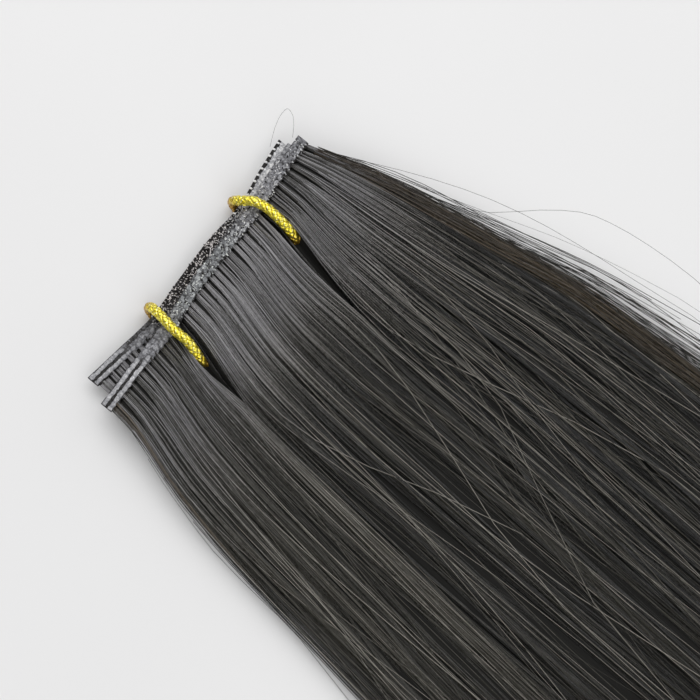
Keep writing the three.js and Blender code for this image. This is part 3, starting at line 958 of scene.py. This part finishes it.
def stitch_row(layer, length, rng, inset, first_x, tones):
    """A row of short threads along a band, one at each stitch: part of an ellipse inside the band's
    outline, thickest on the outer side, so that it shows as a bead with the dark fold beside it."""
    count = int(length / EDGE_PITCH)
    place = (np.arange(count) + rng.uniform(0.42, 0.58, count) + inset) / (count + inset) * length
    place = place[LAYERS[layer]["left"] + place > first_x][:, None]
    turn = np.linspace(-2.0, 2.0, 9)[None]
    x, outer, height = band_line(layer, place + 0.06 * turn)
    paths = np.stack([x, outer - inset + 0.42 * np.cos(turn), height + 0.32 * np.sin(turn)], axis=-1)
    size = along_band(BANDS[layer]["bead"], x) * rng.uniform(0.85, 1.1, place.shape)
    tone = along_band(tones, x) + rng.normal(0, 0.1, place.shape)
    return sweep(paths, size * (1 - 0.1 * np.abs(turn) ** 1.5), 5, ACROSS, tone)


def band_specks(layer, rng):
    """Short stubs of pale and dark thread that lie slantwise on both faces, with narrowed ends."""
    count, low, high, last_x = BANDS[layer]["specks"]
    place = rng.uniform(SPECKS_FROM, last_x, (count, 1)) - LAYERS[layer]["left"]
    across = rng.uniform(0.1, BAND_HEIGHT - 0.1, (count, 1))
    face = np.where(rng.uniform(0, 1, (count, 1)) < 0.75, 1, -1)
    heading = rng.normal(0.9, 0.4, (count, 1)) * rng.choice([-1, 1], (count, 1))
    half = rng.uniform(0.1, 0.32, (count, 1))
    step = np.linspace(-1, 1, 3)[None]
    x, outer, height = band_line(layer, place + half * step * np.cos(heading))
    z = height + face * (FACE_HEIGHT + rng.uniform(-0.06, 0.08, (count, 1)) - 0.12 * step**2)
    paths = np.stack([x, outer - across - half * step * np.sin(heading), z], axis=-1)
    radii = rng.uniform(0.08, 0.18, (count, 1)) * (1 - 0.4 * step**2)
    pale = rng.uniform(0, 1, (count, 1)) < 0.6
    tone = np.where(pale, rng.uniform(low, high, (count, 1)), rng.uniform(-0.1, 0.15, (count, 1)))
    return sweep(paths, radii, 4, UPWARD, tone)


def thread_loop():
    """A short thread on a smooth curve through the loop's points."""
    route = np.array(THREAD_LOOP) + (0, BAND_Y, 0)
    return sweep(curve_through(route, 17)[None], 0.13, 6, UPWARD, 0.85)


def build_band(layer, seed):
    """A band's core, and all its threads as one piece."""
    rng = np.random.default_rng(seed)
    length = LAYERS[layer]["right"] - LAYERS[layer]["left"]
    tint = BANDS[layer]["tint"]
    cloth = band_material(f"{layer}_band_cloth", 1.0, 0.8, tint)
    thread = band_material(f"{layer}_band_thread", 0.75, 0.6, tint)
    band_core(layer, length, round(length / BUNCH_PITCH), rng, cloth)
    parts = [*band_ridges(layer, length, rng), band_specks(layer, rng)]
    edge_tones = BANDS[layer]["edge"]
    parts.append(stitch_row(layer, length, rng, EDGE_INSET, LAYERS[layer]["left"], edge_tones))
    if layer == "bottom":
        parts.append(thread_loop())
    if layer == "top":
        parts.append(stitch_row(layer, length, rng, SEAM_INSET, SPECKS_FROM, SEAM_TONES))
    add_piece(f"{layer}_band_threads", *join(parts), thread, "band")


# Gold ties

TIE_STEPS = 300
BRAID_PITCH = 7.0
RIBBONS = 4  # wound each way
RIBBON_HALF_WIDTH, RIBBON_FLATNESS = 0.6, 0.38
RIBBON_INSET, RIBBON_SWING = 0.38, 0.13  # of a ribbon's middle from the cord's skin, and in and out of that
CORE_INSET = 0.45


def tie_route(tie):
    """The cord's closed route: under the lowest band and round its outer edge, up the steps of the
    bands, over the top band and the hair, down through the parting and back under the hair."""
    clear = TIE_RADIUS + GAP
    under = TIE_FLOOR_GAP + TIE_RADIUS
    over = STACK_TOP + GAP + TIE_RADIUS
    edge_x, run_x, dive_x = tie["edge_x"], tie["run_x"], tie["dive"][0]
    low_edge = band_edge("bottom", edge_x)
    high_edge = band_edge("top", (edge_x + run_x) / 2)
    dive_y = line_y(dive_x) + tie["dive"][1]
    inner_edge = high_edge - BAND_HEIGHT

    def between(a, b, share):
        return a + (b - a) * share

    return np.array([
        [edge_x, low_edge - 3, under],
        [edge_x, low_edge + 0.55 * clear, under + 0.25],
        [edge_x, low_edge + 1.02 * clear, BAND_LIFT + BAND_THICKNESS / 2],
        [edge_x, low_edge + 0.75 * clear, BAND_LIFT + BAND_THICKNESS + 0.75 * clear],
        [between(edge_x, run_x, 0.4), between(low_edge, high_edge, 0.6), over - 0.5],
        [between(edge_x, run_x, 0.7), high_edge - 0.4, over + 0.1],
        [run_x, inner_edge, over + 0.1],
        [run_x, between(inner_edge, dive_y, 0.45), over - 0.3],
        [between(run_x, dive_x, 0.5), dive_y + 2.4, over - 1.5],
        [dive_x, dive_y + 0.3, over - 3.3],
        [dive_x, dive_y - 0.2, under + 2.2],
        [dive_x, dive_y + 1.4, under + 0.3],
        [between(dive_x, edge_x, 0.3), dive_y + 4.5, under],
        [between(dive_x, edge_x, 0.7), between(dive_y, low_edge, 0.55), under],
    ])


def closed_curve(route, steps):
    """Even steps along the smooth closed curve through the route's points. The curve is a cubic over
    the chord lengths, and a finer copy of it gives the even steps."""
    wrapped = np.concatenate([route[-3:], route, route[:4]])
    chords = np.concatenate([[0], np.cumsum(np.linalg.norm(np.diff(wrapped, axis=0), axis=1))])
    start, end = chords[3], chords[3 + len(route)]
    fine = smooth_curve(chords, wrapped, np.linspace(start, end, 2000))
    run = np.concatenate([[0], np.cumsum(np.linalg.norm(np.diff(fine, axis=0), axis=1))])
    even = np.linspace(0, run[-1], steps, endpoint=False)
    return np.stack([np.interp(even, run, fine[:, k]) for k in range(3)], axis=-1), run[-1]


def build_tie(side):
    """A round braid: ribbons wound both ways round the cord's centre line, which pass over and under
    each other as their radius rises and falls with the cosine of the crossing number."""
    centre, length = closed_curve(tie_route(TIES[side]), TIE_STEPS)
    turns = round(length / BRAID_PITCH)
    tangent = unit(np.roll(centre, -1, axis=0) - np.roll(centre, 1, axis=0))
    out = unit(np.cross(tangent, ACROSS))
    beside = np.cross(out, tangent)
    share = np.arange(TIE_STEPS) / TIE_STEPS

    tube = sweep(centre[None], TIE_RADIUS - CORE_INSET, 10, ACROSS, 0.0, closed=True)
    core = add_piece(f"{side}_tie_core", *tube, TIE_CORE, "gold_cord")
    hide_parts(f"{side}_gold_tie")

    parts = []
    first = 2 * np.pi * np.arange(RIBBONS)[:, None] / RIBBONS
    for hand in (1, -1):
        angle = first + hand * 2 * np.pi * turns * share[None]
        lift = hand * RIBBON_SWING * np.cos(2 * np.pi * turns * RIBBONS * share)[None, :, None]
        radial = np.cos(angle)[..., None] * out + np.sin(angle)[..., None] * beside
        paths = centre + (TIE_RADIUS - RIBBON_INSET + lift) * radial
        tone = np.arange(RIBBONS)[:, None] * 0.37 + hand
        parts.append(sweep(paths, RIBBON_HALF_WIDTH, 6, radial, tone, RIBBON_FLATNESS, closed=True))
    add_piece(f"{side}_tie_braid", *join(parts), GOLD, "gold_cord")


build_hair()
build_loose_hairs()
for number, layer_name in enumerate(LAYERS):
    build_band(layer_name, 31 + number)
for tie_side in TIES:
    build_tie(tie_side)


# Floor, lights and camera

FLOOR_HALF = 3.0  # metres
LIGHTS = {  # place and target in metres, width in metres, power in watts
    "key": ((0.27, 0.6, 0.92), (0.0, 0.1, 0.0), 1.4, 10.4),
    "left_fill": ((-0.55, -0.75, 0.85), (0.0, -0.05, 0.0), 1.2, 7.4),
    "right_fill": ((0.75, -0.5, 0.75), (0.0, -0.05, 0.0), 1.2, 3.7),
}
AZIMUTH, ELEVATION = np.radians(-49.2), np.radians(72.0)
IMAGE_SIDE = 700
PX_PER_MM = 4.5
ANCHOR_PX = (200, 268)  # where the middle of the top band's outer edge lies in the image
CAMERA_DISTANCE = 1200.0
SENSOR = 36.0


def add_floor():
    """A wide pale table top with a faint mottle."""
    node, surface = new_material("pale_table")
    mottle = noise(node, own_place(node), 6.0, 2.0)
    colour = ramp(node, mottle, [(0.3, (0.81, 0.81, 0.815)), (0.7, (0.85, 0.85, 0.855))])
    material = surface({"Base Color": colour, "Roughness": 0.7})
    mesh = bpy.data.meshes.new("floor")
    corners = [(x * FLOOR_HALF, y * FLOOR_HALF, 0) for x, y in ((-1, -1), (1, -1), (1, 1), (-1, 1))]
    mesh.from_pydata(corners, [], [(0, 1, 2, 3)])
    mesh.materials.append(material)
    floor = bpy.data.objects.new("floor", mesh)
    bpy.context.scene.collection.objects.link(floor)


def add_light(name, place, target, width, power):
    """A soft square light at a place, facing a target."""
    light = bpy.data.lights.new(name, "AREA")
    light.size = width
    light.energy = power
    lamp = bpy.data.objects.new(name, light)
    lamp.location = place
    lamp.rotation_mode = "QUATERNION"
    lamp.rotation_quaternion = (Vector(target) - Vector(place)).to_track_quat("-Z", "Y")
    lamp.visible_camera = False
    bpy.context.scene.collection.objects.link(lamp)


def add_camera():
    """A long lens that looks down at the bands from beside their left end."""
    sin_a, cos_a, sin_e, cos_e = np.sin(AZIMUTH), np.cos(AZIMUTH), np.sin(ELEVATION), np.cos(ELEVATION)
    back = np.array([sin_a * cos_e, -cos_a * cos_e, sin_e])
    right = np.array([cos_a, sin_a, 0])
    up = np.array([-sin_a * sin_e, cos_a * sin_e, cos_e])
    anchor = np.array([0, BAND_Y, STACK_TOP])
    aside, down = (np.array([IMAGE_SIDE, IMAGE_SIDE]) / 2 - ANCHOR_PX) / PX_PER_MM
    target = anchor + aside * right - down * up
    camera = bpy.data.cameras.new("camera")
    camera.sensor_width = SENSOR
    camera.lens = SENSOR * CAMERA_DISTANCE / (IMAGE_SIDE / PX_PER_MM)
    holder = bpy.data.objects.new("camera", camera)
    holder.location = (target + CAMERA_DISTANCE * back) * MM
    holder.rotation_mode = "QUATERNION"
    holder.rotation_quaternion = Vector(-back).to_track_quat("-Z", "Y")
    bpy.context.scene.collection.objects.link(holder)
    bpy.context.scene.camera = holder


def add_world():
    """Even pale light from all sides."""
    world = bpy.data.worlds.new("soft_room")
    world.use_nodes = True
    background = world.node_tree.nodes["Background"]
    background.inputs["Color"].default_value = (1.0, 0.98, 0.96, 1)
    background.inputs["Strength"].default_value = 0.16
    bpy.context.scene.world = world


add_floor()
add_world()
for light_name, light_settings in LIGHTS.items():
    add_light(light_name, *light_settings)
add_camera()
bpy.context.scene.view_settings.view_transform = "Standard"
